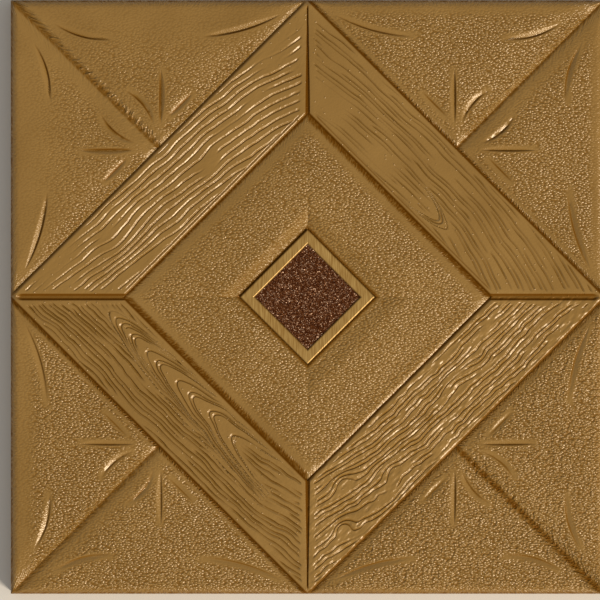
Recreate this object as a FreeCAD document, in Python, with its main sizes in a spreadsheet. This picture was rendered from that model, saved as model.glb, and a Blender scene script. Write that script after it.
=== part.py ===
import FreeCAD, Part
import math
import os
import re
import Sketcher

# Square padded wall panel, 400 mm a side, lying face up on its flat back.
# One moulded skin and foam body carries the whole relief: four boards laid as a
# square frame on its corner, a cushion inside them, and four corner cushions, each
# split by a seam and pleated with leaf-shaped dents. A flat gilt rim and a glitter
# plate sit in a pocket at the centre.
# Lengths are millimetres. X is right, Y is up as the panel hangs, Z is out of the face.
# The origin is the middle of the flat back.

SIZES = [
    ("tile_side", 400.0, "outer side of the panel"),
    ("tile_thickness", 20.0, "flat back to the crown of the cushions"),
    ("side_height", 12.0, "flat back to the start of the rounded outer edge"),
    ("edge_round", 5.0, "how far the rounded outer edge reaches in"),
    ("seam_depth", 3.6, "crown of the cushions to the bottom of a seam"),
    ("seam_round", 8.0, "how far a cushion rounds over beside a seam"),
    ("crown_reach", 28.0, "how far the gentle crown of a cushion reaches in from a seam"),
    ("crown_fall", 1.0, "how much the gentle crown falls before the cushion rounds over"),
    ("board_width", 54.0, "width of each board of the square frame"),
    ("board_drop", 1.0, "crown of the cushions to the top of the boards"),
    ("board_round", 1.6, "rounding of the long edges of the boards"),
    ("wide_mitre", 4.2, "width of the mitre grooves at the left and right"),
    ("narrow_mitre", 3.0, "width of the mitre grooves at the top and bottom"),
    ("mitre_depth", 2.0, "depth of the mitre grooves below the boards"),
    ("mitre_stop", 4.5, "how far short of the outer edge a mitre groove stops"),
    ("rim_side", 64.0, "outer side of the square gilt rim"),
    ("rim_width", 6.8, "width of the gilt rim, seen from the front"),
    ("rim_height", 3.5, "height of the gilt rim"),
    ("rim_chamfer", 0.5, "chamfer on the front edges of the gilt rim"),
    ("rim_clearance", 0.25, "gap between the gilt rim and the wall of its pocket"),
    ("pocket_depth", 5.5, "crown of the cushions to the floor of the pocket"),
    ("dip_reach", 12.0, "how far the centre cushion dips towards the rim"),
    ("dip_depth", 2.8, "how deep the centre cushion dips at the rim"),
    ("plate_thickness", 2.5, "thickness of the glitter plate"),
    ("plate_clearance", 0.2, "gap between the glitter plate and the gilt rim"),
    ("leaf_depth", 1.5, "depth of a leaf-shaped pleat at its middle"),
    ("leaf_gentle", 2.8, "width of the gentle wall of a leaf-shaped pleat"),
    ("leaf_steep", 1.2, "width of the steep wall of a leaf-shaped pleat"),
]

# The five pleats of one half corner, in the upper half of the upper right corner.
# Each runs from a start to an end, given from the point it is laid out from: the
# junction where the seam meets the board, the corner of the panel, or the tip of the
# board frame at the middle of the upper side. Its steep wall is on the right of that
# way. The bow is how far its middle bends aside, to the left where it is positive.
LEAVES = [
    ("seam_leaf", "junction", 3.2, 16.4, 22.8, 39.3, 3.0),
    ("upright_leaf", "junction", -1.2, 15.7, -1.5, 53.5, 0.0),
    ("board_leaf", "junction", -6.2, 20.4, -23.8, 37.9, 0.0),
    ("corner_leaf", "corner", -69.0, -26.5, -30.0, -16.0, -3.6),
    ("tip_leaf", "tip", 18.0, -10.0, 72.0, -25.0, -3.2),
]
LEAF_MEASURES = ("start_x", "start_y", "end_x", "end_y", "bow")

# Spare length by which a cut reaches above the face and past the sides.
SPARE = 5.0
# A mitre groove starts this far inside the seam, so that it opens into it cleanly.
MITRE_LEAD = 0.4
# The walls of a pleat bulge by at least this much, so that none is a plane.
LEAST_BULGE = 0.1
HALF_RIGHT_ANGLE = 45.0
QUARTERS = 4

Vector = FreeCAD.Vector
Placement = FreeCAD.Placement

# Formulas of size names that several features share. The board frame stands on its
# corner, so its edges lie this far from the centre, measured square to the boards.
HALF_SIDE = "(tile_side / 2)"
JUNCTION = "(tile_side / 4)"
FRAME_OUTER = "(tile_side / 2 * sqrt(0.5))"
FRAME_INNER = "(tile_side / 2 * sqrt(0.5) - board_width)"
CROWN = "tile_thickness"
SHOULDER = "(tile_thickness - crown_fall)"
SEAM_FLOOR = "(tile_thickness - seam_depth)"
BOARD_TOP = "(tile_thickness - board_drop)"
BOARD_EDGE = "(tile_thickness - board_drop - board_round)"
ABOVE = "(tile_thickness + %s)" % SPARE
SEAT = "(tile_thickness - pocket_depth)"
RIM_HALF = "(rim_side / 2)"
RIM_BORE_HALF = "(rim_side / 2 - rim_width)"
POCKET_HALF = "(rim_side / 2 + rim_clearance)"
PLATE_HALF = "(rim_side / 2 - rim_width - plate_clearance)"

doc = FreeCAD.newDocument("wall_panel")


def fill_table():
    """The table of sizes: name, value and note, one row each."""
    table = doc.addObject("Spreadsheet::Sheet", "sizes")
    rows = list(SIZES)
    for leaf in LEAVES:
        for measure, value in zip(LEAF_MEASURES, leaf[2:]):
            rows.append((leaf[0] + "_" + measure, value, "from the " + leaf[1]))
    for number, (name, value, note) in enumerate(rows, start=1):
        table.set("A%d" % number, name)
        table.set("B%d" % number, str(value))
        table.set("C%d" % number, note)
        table.setAlias("B%d" % number, name)
    doc.recompute()
    return table


sizes = fill_table()
TABLE_NAMES = {row[0]: "sizes." + row[0] for row in SIZES}


def value_of(formula):
    """The number that a formula of size names gives."""
    return float(sizes.evalExpression(formula))


def bound(formula):
    """The same formula with each size name pointed at the table."""
    return re.sub(r"[a-z_]+", lambda word: TABLE_NAMES.get(word.group(), word.group()), formula)


def round_over(across, fall):
    """Formula for the radius of an arc that spans across while it falls by fall."""
    return "((%s)^2 + (%s)^2) / (2 * min(%s; %s))" % (across, fall, across, fall)


CROWN_BEND = round_over("(crown_reach - seam_round)", "crown_fall")
SEAM_BEND = round_over("seam_round", "(seam_depth - crown_fall)")
EDGE_CROWN_BEND = round_over("(crown_reach - edge_round)", "crown_fall")
EDGE_BEND = round_over("edge_round", "(tile_thickness - crown_fall - side_height)")
DIP_BEND = round_over("dip_reach", "dip_depth")


def origin_feature(body, role):
    """The body's own origin plane or axis with this role."""
    for feature in body.Origin.OriginFeatures:
        if feature.Role == role:
            return feature
    raise ValueError(role)


def new_sketch(body, name, role, turn_axis=None, angle=0.0, ahead=None):
    """A sketch on an origin plane, turned about an axis of its own and moved ahead."""
    sketch = body.newObject("Sketcher::SketchObject", name)
    sketch.AttachmentSupport = [(origin_feature(body, role), "")]
    sketch.MapMode = "FlatFace"
    if turn_axis is not None:
        turn = FreeCAD.Rotation(turn_axis, angle)
        sketch.AttachmentOffset = Placement(Vector(0, 0, 0), turn)
    if ahead is not None:
        for axis, formula in zip("xyz", ahead):
            sketch.setExpression("AttachmentOffset.Base." + axis, bound(formula))
    return sketch


def tie(sketch, constraint, formula):
    """Adds a constraint whose value follows a formula of size names."""
    number = sketch.addConstraint(constraint)
    sketch.setExpression("Constraints[%d]" % number, bound(formula))


def arc_between(start, end, radius):
    """The short arc that bulges to the left of the way from start to end."""
    chord = end.sub(start)
    middle = start.add(end).multiply(0.5)
    right = Vector(chord.y, -chord.x, 0).normalize()
    half = chord.Length / 2.0
    centre = middle.add(right.multiply(math.sqrt(max(radius * radius - half * half, 0.0))))
    first = math.atan2(end.y - centre.y, end.x - centre.x)
    last = math.atan2(start.y - centre.y, start.x - centre.x)
    return Part.ArcOfCircle(Part.Circle(centre, Vector(0, 0, 1), radius), first, last)


def closed_outline(sketch, corners):
    """A closed chain of straight and round stretches with every corner tied to the sizes.

    Each corner is (across, up, bend): two formulas for its place, and None where a
    straight stretch leaves it, or the formula for the radius of the arc that does,
    which bulges to the left of its way.
    """
    places = [Vector(value_of(across), value_of(up), 0) for across, up, bend in corners]
    count = len(corners)
    for index, (across, up, bend) in enumerate(corners):
        end = places[(index + 1) % count]
        if bend is None:
            sketch.addGeometry(Part.LineSegment(places[index], end))
        else:
            sketch.addGeometry(arc_between(places[index], end, value_of(bend)))
    # An arc is kept against the clock, so one that bulges left starts at its far end.
    starts = [1 if bend is None else 2 for across, up, bend in corners]
    for index in range(count):
        following = (index + 1) % count
        sketch.addConstraint(Sketcher.Constraint(
            "Coincident", index, 3 - starts[index], following, starts[following]))
    for index, (across, up, bend) in enumerate(corners):
        start = starts[index]
        place = places[index]
        tie(sketch, Sketcher.Constraint("DistanceX", -1, 1, index, start, place.x), across)
        tie(sketch, Sketcher.Constraint("DistanceY", -1, 1, index, start, place.y), up)
        if bend is not None:
            tie(sketch, Sketcher.Constraint("Radius", index, value_of(bend)), bend)


def square_outline(sketch, half):
    """A square about the sketch's origin, its half side given by a formula."""
    signs = [("-1", "-1"), ("1", "-1"), ("1", "1"), ("-1", "1")]
    first = sketch.GeometryCount
    half_now = value_of(half)
    points = [Vector(float(x) * half_now, float(y) * half_now, 0) for x, y in signs]
    for index in range(4):
        sketch.addGeometry(Part.LineSegment(points[index], points[(index + 1) % 4]))
    for index in range(4):
        corner = first + index
        following = first + (index + 1) % 4
        sketch.addConstraint(Sketcher.Constraint("Coincident", corner, 2, following, 1))
    for index, (x, y) in enumerate(signs):
        corner = first + index
        place = points[index]
        tie(sketch, Sketcher.Constraint("DistanceX", -1, 1, corner, 1, place.x),
            "%s * %s" % (x, half))
        tie(sketch, Sketcher.Constraint("DistanceY", -1, 1, corner, 1, place.y),
            "%s * %s" % (y, half))


def on_its_corner(body, name):
    """A level sketch turned so that its squares stand on a corner."""
    return new_sketch(body, name, "XY_Plane", Vector(0, 0, 1), HALF_RIGHT_ANGLE)


def ring_cut(body, name, section, path):
    """A cut of constant section along a square path, mitred at its corners."""
    cut = body.newObject("PartDesign::SubtractivePipe", name)
    cut.Profile = section
    cut.Spine = path
    cut.Transition = "Right corner"
    return cut


def quarter_pattern(body, feature, name, occurrences=QUARTERS):
    """The feature repeated about the panel's axis."""
    pattern = body.newObject("PartDesign::PolarPattern", name)
    pattern.Originals = [feature]
    pattern.Axis = (origin_feature(body, "Z_Axis"), [""])
    pattern.Angle = 360.0
    pattern.Occurrences = occurrences
    body.Tip = pattern
    return pattern


def moulded_block(body):
    """The square blank, as thick as the crown of the cushions."""
    outline = new_sketch(body, "panel_outline", "XY_Plane")
    square_outline(outline, HALF_SIDE)
    block = body.newObject("PartDesign::Pad", "moulded_block")
    block.Profile = outline
    block.setExpression("Length", bound(CROWN))


def board_frame(body):
    """The four boards with the valley at each side, and the cushions' edges beyond.

    The section runs outwards: crown, shoulder and seam of the centre cushion, the
    board with its rounded edges, then seam, shoulder and crown of a corner cushion.
    """
    section = new_sketch(body, "board_section", "XZ_Plane", Vector(0, 1, 0), HALF_RIGHT_ANGLE)
    closed_outline(section, [
        (FRAME_INNER + " - crown_reach", CROWN, CROWN_BEND),
        (FRAME_INNER + " - seam_round", SHOULDER, SEAM_BEND),
        (FRAME_INNER, SEAM_FLOOR, None),
        (FRAME_INNER, BOARD_EDGE, "board_round"),
        (FRAME_INNER + " + board_round", BOARD_TOP, None),
        (FRAME_OUTER + " - board_round", BOARD_TOP, "board_round"),
        (FRAME_OUTER, BOARD_EDGE, None),
        (FRAME_OUTER, SEAM_FLOOR, SEAM_BEND),
        (FRAME_OUTER + " + seam_round", SHOULDER, CROWN_BEND),
        (FRAME_OUTER + " + crown_reach", CROWN, None),
        (FRAME_OUTER + " + crown_reach", ABOVE, None),
        (FRAME_INNER + " - crown_reach", ABOVE, None),
    ])
    path = on_its_corner(body, "board_path")
    square_outline(path, FRAME_INNER)
    ring_cut(body, "board_frame", section, path)


def rounded_outer_edge(body):
    """The outer edge of the panel, rounded down to the upright side."""
    section = new_sketch(body, "edge_section", "XZ_Plane")
    closed_outline(section, [
        (HALF_SIDE + " - crown_reach", CROWN, EDGE_CROWN_BEND),
        (HALF_SIDE + " - edge_round", SHOULDER, EDGE_BEND),
        (HALF_SIDE, "side_height", None),
        (HALF_SIDE + " + %s" % SPARE, "side_height", None),
        (HALF_SIDE + " + %s" % SPARE, ABOVE, None),
        (HALF_SIDE + " - crown_reach", ABOVE, None),
    ])
    path = new_sketch(body, "edge_path", "XY_Plane")
    square_outline(path, HALF_SIDE)
    ring_cut(body, "rounded_outer_edge", section, path)


def corner_seams(body):
    """The seam from each corner of the panel to the middle of the board there."""
    section = new_sketch(body, "seam_section", "XZ_Plane", Vector(0, 1, 0), -HALF_RIGHT_ANGLE,
                         (JUNCTION, "0", "-1 * " + JUNCTION))
    closed_outline(section, [
        ("-1 * crown_reach", CROWN, CROWN_BEND),
        ("-1 * seam_round", SHOULDER, SEAM_BEND),
        ("0", SEAM_FLOOR, SEAM_BEND),
        ("seam_round", SHOULDER, CROWN_BEND),
        ("crown_reach", CROWN, None),
        ("crown_reach", ABOVE, None),
        ("-1 * crown_reach", ABOVE, None),
    ])
    seam = body.newObject("PartDesign::Pocket", "corner_seam")
    seam.Profile = section
    seam.setExpression("Length", bound(FRAME_OUTER + " + %s" % SPARE))
    quarter_pattern(body, seam, "corner_seams")
    return seam


def mitre_groove(body, name, width, role):
    """The pair of V grooves where the boards meet, along one line across the panel."""
    start = "(sqrt(2) * %s - %s)" % (FRAME_INNER, MITRE_LEAD)
    section = new_sketch(body, name + "_section", role, None, 0.0,
                         ("0", "0", "-1 * " + start))
    spread = "%s / 2 * (%s + board_drop + mitre_depth) / mitre_depth" % (width, SPARE)
    closed_outline(section, [
        ("0", BOARD_TOP + " - mitre_depth", None),
        (spread, ABOVE, None),
        ("-1 * " + spread, ABOVE, None),
    ])
    groove = body.newObject("PartDesign::Pocket", name)
    groove.Profile = section
    reach = "%s - mitre_stop - %s" % (HALF_SIDE, start)
    groove.setExpression("Length", bound(reach))
    quarter_pattern(body, groove, name + "s", 2)
    return groove


def rim_dip(body):
    """The centre cushion sinking towards the rim on all four sides."""
    section = new_sketch(body, "dip_section", "XZ_Plane", Vector(0, 1, 0), HALF_RIGHT_ANGLE)
    closed_outline(section, [
        (POCKET_HALF, CROWN + " - dip_depth", DIP_BEND),
        (POCKET_HALF + " + dip_reach", CROWN, None),
        (POCKET_HALF + " + dip_reach", ABOVE, None),
        (POCKET_HALF, ABOVE, None),
    ])
    path = on_its_corner(body, "dip_path")
    square_outline(path, POCKET_HALF)
    ring_cut(body, "rim_dip", section, path)


def rim_pocket(body):
    """The square pocket that the rim and the glitter plate lie in."""
    outline = on_its_corner(body, "pocket_outline")
    outline.setExpression("AttachmentOffset.Base.z", bound(ABOVE))
    square_outline(outline, POCKET_HALF)
    pocket = body.newObject("PartDesign::Pocket", "rim_pocket")
    pocket.Profile = outline
    pocket.setExpression("Length", bound(ABOVE + " - " + SEAT))


def cushion_height(x, y):
    """Height of a corner cushion at a place between its seams and the outer edge."""
    half_side = value_of(HALF_SIDE)
    reach = value_of("crown_reach")
    gentle = value_of("crown_reach - seam_round")
    from_board = (x + y) * math.sqrt(0.5) - value_of(FRAME_OUTER)
    from_seam = abs(x - y) * math.sqrt(0.5)
    from_edge = half_side - y
    nearest = min(from_board, from_seam, from_edge)
    share = max(reach - nearest, 0.0) / gentle
    return value_of(CROWN) - value_of("crown_fall") * share * share


def leaf_wall(name, start, end, bulge, slope, leaf_on_right):
    """The upright cone that one wall of a pleat is part of, and whether it holds the pleat.

    The wall leaves the surface along an arc from start to end, which bulges to the
    left, or to the right where the bulge is negative. Slope is how far the wall moves
    in for each millimetre of depth, so the cone is narrower below where the pleat is
    inside it and wider below where the pleat is outside.
    """
    bulge = math.copysign(max(abs(bulge), LEAST_BULGE), bulge)
    chord = end.sub(start)
    half = chord.Length / 2.0
    radius = (half * half + bulge * bulge) / (2.0 * abs(bulge))
    left = Vector(-chord.y, chord.x, 0).normalize()
    back = math.copysign(radius, bulge) - bulge
    centre = start.add(end).multiply(0.5).sub(left.multiply(back))
    holds_pleat = (bulge > 0) == leaf_on_right
    spread = slope if holds_pleat else -slope
    below = 2.0 * value_of("leaf_depth")
    wall = doc.addObject("Part::Cone", name)
    wall.Radius1 = radius - spread * below
    wall.Radius2 = radius + spread * SPARE
    wall.Height = below + SPARE
    wall.Placement = Placement(Vector(centre.x, centre.y, centre.z - below), FreeCAD.Rotation())
    return wall, holds_pleat


def leaf_cutter(name, laid_out_from):
    """A leaf-shaped bite between a gentle wall on its left and a steep one on its right."""
    start_x, start_y, end_x, end_y, bow = [
        value_of(name + "_" + measure) for measure in LEAF_MEASURES]
    start = laid_out_from.add(Vector(start_x, start_y, 0))
    end = laid_out_from.add(Vector(end_x, end_y, 0))
    surface = (cushion_height(start.x, start.y) + cushion_height(end.x, end.y)) / 2.0
    start.z = surface
    end.z = surface
    depth = value_of("leaf_depth")
    gentle = value_of("leaf_gentle")
    steep = value_of("leaf_steep")
    left_wall, inside_left = leaf_wall(
        name + "_gentle_wall", start, end, bow + gentle, gentle / depth, True)
    right_wall, inside_right = leaf_wall(
        name + "_steep_wall", start, end, bow - steep, steep / depth, False)
    if inside_left and inside_right:
        leaf = doc.addObject("Part::MultiCommon", name)
        leaf.Shapes = [left_wall, right_wall]
    else:
        leaf = doc.addObject("Part::Cut", name)
        leaf.Base = left_wall if inside_left else right_wall
        leaf.Tool = right_wall if inside_left else left_wall
    return leaf


def every_pleat():
    """The bites of all the pleats: five in each half corner, mirrored at its seam."""
    half_side = value_of(HALF_SIDE)
    junction = value_of(JUNCTION)
    laid_out_from = {
        "junction": Vector(junction, junction, 0),
        "corner": Vector(half_side, half_side, 0),
        "tip": Vector(0, half_side, 0),
    }
    half_corner = doc.addObject("Part::Compound", "half_corner_pleats")
    half_corner.Links = [leaf_cutter(leaf[0], laid_out_from[leaf[1]]) for leaf in LEAVES]
    mirrored = doc.addObject("Part::Mirroring", "mirrored_pleats")
    mirrored.Source = half_corner
    mirrored.Base = Vector(0, 0, 0)
    mirrored.Normal = Vector(1, -1, 0)
    corner = doc.addObject("Part::Compound", "corner_pleats")
    corner.Links = [half_corner, mirrored]
    corners = [corner]
    for quarter in range(1, QUARTERS):
        turned = doc.addObject("App::Link", "turned_pleats_%d" % quarter)
        turned.LinkedObject = corner
        turned.LinkTransform = True
        turned.Placement.Rotation = FreeCAD.Rotation(Vector(0, 0, 1), quarter * 360.0 / QUARTERS)
        corners.append(turned)
    pleats = doc.addObject("Part::Compound", "every_pleat")
    pleats.Links = corners
    return pleats


def make_panel():
    """The moulded panel: all of its relief is one skin over one foam body."""
    body = doc.addObject("PartDesign::Body", "moulding")
    moulded_block(body)
    board_frame(body)
    rounded_outer_edge(body)
    corner_seams(body)
    mitre_groove(body, "level_mitre", "wide_mitre", "YZ_Plane")
    mitre_groove(body, "upright_mitre", "narrow_mitre", "XZ_Plane")
    rim_dip(body)
    rim_pocket(body)
    panel = doc.addObject("Part::Cut", "panel")
    panel.Base = body
    panel.Tool = every_pleat()
    return panel


def make_rim():
    """The flat gilt rim, a square ring on the floor of the pocket."""
    body = doc.addObject("PartDesign::Body", "gilt_rim")
    outline = on_its_corner(body, "rim_outline")
    outline.setExpression("AttachmentOffset.Base.z", bound(SEAT))
    square_outline(outline, RIM_HALF)
    square_outline(outline, RIM_BORE_HALF)
    ring = body.newObject("PartDesign::Pad", "rim_ring")
    ring.Profile = outline
    ring.setExpression("Length", bound("rim_height"))
    doc.recompute()
    front = value_of(SEAT + " + rim_height")
    edges = ["Edge%d" % number for number, edge in enumerate(ring.Shape.Edges, start=1)
             if min(vertex.Z for vertex in edge.Vertexes) > front - 1e-6]
    chamfer = body.newObject("PartDesign::Chamfer", "rim_chamfers")
    chamfer.Base = (ring, edges)
    chamfer.setExpression("Size", bound("rim_chamfer"))
    return body


def make_plate():
    """The square glitter plate inside the rim, on the same floor and set back in it."""
    body = doc.addObject("PartDesign::Body", "glitter_plate")
    outline = on_its_corner(body, "plate_outline")
    outline.setExpression("AttachmentOffset.Base.z", bound(SEAT))
    square_outline(outline, PLATE_HALF)
    plate = body.newObject("PartDesign::Pad", "plate")
    plate.Profile = outline
    plate.setExpression("Length", bound("plate_thickness"))
    return body


pieces = [make_rim(), make_plate(), make_panel()]
doc.recompute()

for item in doc.Objects:
    if "Invalid" in item.State or "Error" in item.State:
        raise RuntimeError("%s did not build: %s" % (item.Name, item.State))

os.makedirs("parts", exist_ok=True)
for piece in pieces:
    if piece.Shape.isNull() or not piece.Shape.isValid():
        raise RuntimeError("%s is not a valid solid" % piece.Label)
    print(piece.Label, len(piece.Shape.Solids), round(piece.Shape.Volume, 1))
for piece in pieces:
    piece.Shape.exportStep(os.path.join("parts", piece.Label + ".step"))
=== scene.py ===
import math

import bpy
import numpy as np
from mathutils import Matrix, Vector


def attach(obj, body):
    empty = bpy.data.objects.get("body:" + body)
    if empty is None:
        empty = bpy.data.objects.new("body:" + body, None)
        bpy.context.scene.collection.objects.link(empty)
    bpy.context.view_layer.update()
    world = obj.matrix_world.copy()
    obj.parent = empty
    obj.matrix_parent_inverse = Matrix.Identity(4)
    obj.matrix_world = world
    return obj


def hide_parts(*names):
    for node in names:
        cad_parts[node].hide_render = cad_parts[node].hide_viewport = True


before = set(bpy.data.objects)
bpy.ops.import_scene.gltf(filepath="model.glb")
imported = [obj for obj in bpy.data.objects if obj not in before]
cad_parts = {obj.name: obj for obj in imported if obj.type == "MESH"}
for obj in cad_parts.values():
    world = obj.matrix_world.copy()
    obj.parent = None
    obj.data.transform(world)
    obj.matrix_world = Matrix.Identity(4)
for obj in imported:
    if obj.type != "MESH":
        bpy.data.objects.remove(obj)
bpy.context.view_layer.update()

# A square padded wall panel, seen square on. Its one soft skin is laid out here as
# four boards in a square frame on its corner, the cushion inside them and four
# corner cushions, each a closed block that meets the next one at the seams.
# Lengths are millimetres until a mesh is made, which is in metres.
HALF_SIDE = 200.0
THICKNESS = 20.0
SIDE_HEIGHT = 12.0
SEAM_DEPTH = 3.0
SEAM_ROUND = 8.0
CROWN_REACH = 28.0
CROWN_FALL = 1.0
BOARD_WIDTH = 54.0
BOARD_TOP = 19.0
BOARD_ROUND = 2.0
BOARD_EDGE_DROP = 1.2
WIDE_MITRE = 4.9
NARROW_MITRE = 3.0
MITRE_DEPTH = 2.0
MITRE_STOP = 4.5
POCKET_HALF = 32.25
SEAT_HEIGHT = 14.5
DIP_REACH = 12.0
DIP_DEPTH = 2.8
FRAME_OUTER = HALF_SIDE * math.sqrt(0.5)
FRAME_INNER = FRAME_OUTER - BOARD_WIDTH
# The middle of the circle that touches all three sides of a half corner.
HALF_CORNER_REACH = (2.0 * FRAME_OUTER - HALF_SIDE) / 2.0

# The five pleats of a half corner, as start, end, bow, depth, and the widths of the
# gentle and of the steep wall. Each pair of numbers is a distance from the board's seam
# and one from the corner's own seam. The steep wall is on the right of the way from
# start to end.
LEAVES = (
    ((13.86, 9.33), (43.91, 11.67), 3.0, 1.6, 2.9, 1.2),
    ((10.25, 11.95), (36.77, 38.89), 0.0, 1.6, 3.0, 1.2),
    ((10.04, 18.81), (9.97, 43.63), 0.0, 1.2, 2.3, 2.8),
    ((73.89, 30.05), (108.89, 9.90), -3.6, 1.5, 3.4, 1.2),
    ((5.66, 121.62), (33.23, 72.83), -3.2, 1.5, 3.4, 1.2),
)
# The pleats in both halves of each corner whose steep wall is on the left instead.
LEAVES_TURNED = (((), (0, 1)), ((), ()), ((1, ), ()), ((), ()))
# How bold the pleats are in each corner.
LEAF_SHARE = (1.0, 1.15, 0.8, 0.85)


def smooth_noise(across, up, seed):
    """Random heights on a unit lattice with smooth steps between them, from -1 to 1."""
    size = 64
    heights = np.random.default_rng(seed).uniform(-1.0, 1.0, (size, size))
    column = np.floor(across).astype(int)
    row = np.floor(up).astype(int)
    step_across = across - column
    step_up = up - row
    step_across = step_across * step_across * (3.0 - 2.0 * step_across)
    step_up = step_up * step_up * (3.0 - 2.0 * step_up)

    def height(i, j):
        return heights[(column + i) % size, (row + j) % size]

    low = height(0, 0) * (1.0 - step_across) + height(1, 0) * step_across
    high = height(0, 1) * (1.0 - step_across) + height(1, 1) * step_across
    return low * (1.0 - step_up) + high * step_up


def ease(value, start, end):
    """Zero before start, one after end, and a smooth S between them."""
    share = np.clip((value - start) / (end - start), 0.0, 1.0)
    return share * share * (3.0 - 2.0 * share)


def deepest(*drops):
    """The largest of several drops, with the crease between two of them softened."""
    power = 6.0
    return sum(np.maximum(drop, 0.0) ** power for drop in drops) ** (1.0 / power)


def seam_drop(distance, rounding=SEAM_ROUND, power=2.0):
    """How far a cushion lies under its crown at a distance from a seam.

    A parabola falls gently from the crown over the reach, and a steeper one rolls down
    to the seam over the last few millimetres.
    """
    gentle = np.clip((CROWN_REACH - distance) / (CROWN_REACH - SEAM_ROUND), 0.0, 1.4)
    near = np.clip(1.0 - distance / rounding, 0.0, 1.0)
    return CROWN_FALL * gentle ** 2 + (SEAM_DEPTH - 1.96 * CROWN_FALL) * near ** power


def edge_drop(distance):
    """How far a cushion lies under its crown at a distance from the panel's side."""
    gentle = np.clip((CROWN_REACH - distance) / CROWN_REACH, 0.0, 1.0)
    near = np.clip(1.0 - distance / 6.5, 0.0, 1.0)
    roll = 1.0 - np.sqrt(np.maximum(1.0 - near ** 2.2, 0.0))
    return CROWN_FALL * gentle ** 2 + (THICKNESS - SIDE_HEIGHT - CROWN_FALL) * roll


# The material of a block's flat back, after the one of its skin.
BACK_FINISH = 1


def closed_block(name, points, wraps, readings):
    """A closed mesh under a grid of points: walls down to the floor, and a flat back.

    A grid that wraps is a ring that shrinks row by row, and one more point at the mean
    of its last row closes it. Readings are named values at the grid's points, which the
    materials read: one number each, or three.
    """
    rows, columns = points.shape[:2]
    index = np.arange(rows * columns).reshape(rows, columns)
    if wraps:
        index = np.column_stack([index, index[:, 0]])
        loop = index[0, :-1]
    else:
        loop = np.concatenate([
            index[0, :-1], index[:-1, -1], index[-1, :0:-1], index[:0:-1, 0]])
    grid = points.reshape(-1, 3)
    ground = grid[loop] * (1.0, 1.0, 0.0)
    middle = ground.mean(axis=0, keepdims=True)
    vertices = [grid, ground, middle]
    below = np.arange(len(grid), len(grid) + len(loop))
    centre = len(grid) + len(loop)
    quads = np.stack(
        [index[:-1, :-1], index[:-1, 1:], index[1:, 1:], index[1:, :-1]], axis=-1).reshape(-1, 4)
    walls = np.stack([np.roll(loop, -1), loop, below, np.roll(below, -1)], axis=-1)
    back = np.stack([np.roll(below, -1), below, np.full(len(loop), centre)], axis=-1)
    triangles = [back]
    if wraps:
        vertices.append(grid[index[-1, :-1]].mean(axis=0, keepdims=True))
        last = index[-1]
        cap = np.stack([last[:-1], last[1:], np.full(columns, centre + 1)], axis=-1)
        triangles.append(cap)
    places = np.concatenate(vertices)
    fours = np.concatenate([quads, walls])
    threes = np.concatenate(triangles)
    first, second, third = places[fours[0, :3]]
    if np.cross(second - first, third - second)[2] < 0.0:
        fours = fours[:, ::-1]
        threes = threes[:, ::-1]
    mesh = bpy.data.meshes.new(name)
    mesh.vertices.add(len(places))
    mesh.vertices.foreach_set("co", (places * 0.001).astype(np.float32).ravel())
    corners = np.concatenate([fours.ravel(), threes.ravel()])
    counts = np.concatenate([np.full(len(fours), 4), np.full(len(threes), 3)])
    mesh.loops.add(len(corners))
    mesh.loops.foreach_set("vertex_index", corners.astype(np.int32))
    mesh.polygons.add(len(counts))
    starts = np.concatenate([[0], np.cumsum(counts)[:-1]])
    mesh.polygons.foreach_set("loop_start", starts.astype(np.int32))
    mesh.polygons.foreach_set("use_smooth", np.ones(len(counts), bool))
    finish = np.zeros(len(counts), np.int32)
    finish[len(fours):len(fours) + len(back)] = BACK_FINISH
    mesh.polygons.foreach_set("material_index", finish)
    mesh.update(calc_edges=True)
    for word, values in readings.items():
        flat = values.reshape(len(grid), -1).astype(np.float32)
        whole = np.zeros((len(places), flat.shape[1]), np.float32)
        whole[:len(grid)] = flat
        whole[len(grid):len(grid) + len(loop)] = flat[loop]
        kind = "FLOAT" if flat.shape[1] == 1 else "FLOAT_VECTOR"
        field = "value" if kind == "FLOAT" else "vector"
        attribute = mesh.attributes.new(word, kind, "POINT")
        attribute.data.foreach_set(field, whole.ravel())
    mesh.set_sharp_from_angle(angle=math.radians(50.0))
    block = bpy.data.objects.new(name, mesh)
    bpy.context.scene.collection.objects.link(block)
    return block


def in_the_panel(outward, along, quarter):
    """Places at a distance from the centre square to a board, and along it clockwise."""
    turn = math.radians(45.0 + 90.0 * quarter)
    x = outward * math.cos(turn) + along * math.sin(turn)
    y = outward * math.sin(turn) - along * math.cos(turn)
    return x, y


def ramp_of_steps(stretches):
    """Places along a line, from stretches of an end and the step to use up to it."""
    places = [np.array([0.0])]
    start = 0.0
    for end, step in stretches:
        count = max(1, round((end - start) / step))
        places.append(np.linspace(start, end, count + 1)[1:])
        start = end
    return np.concatenate(places)


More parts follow.
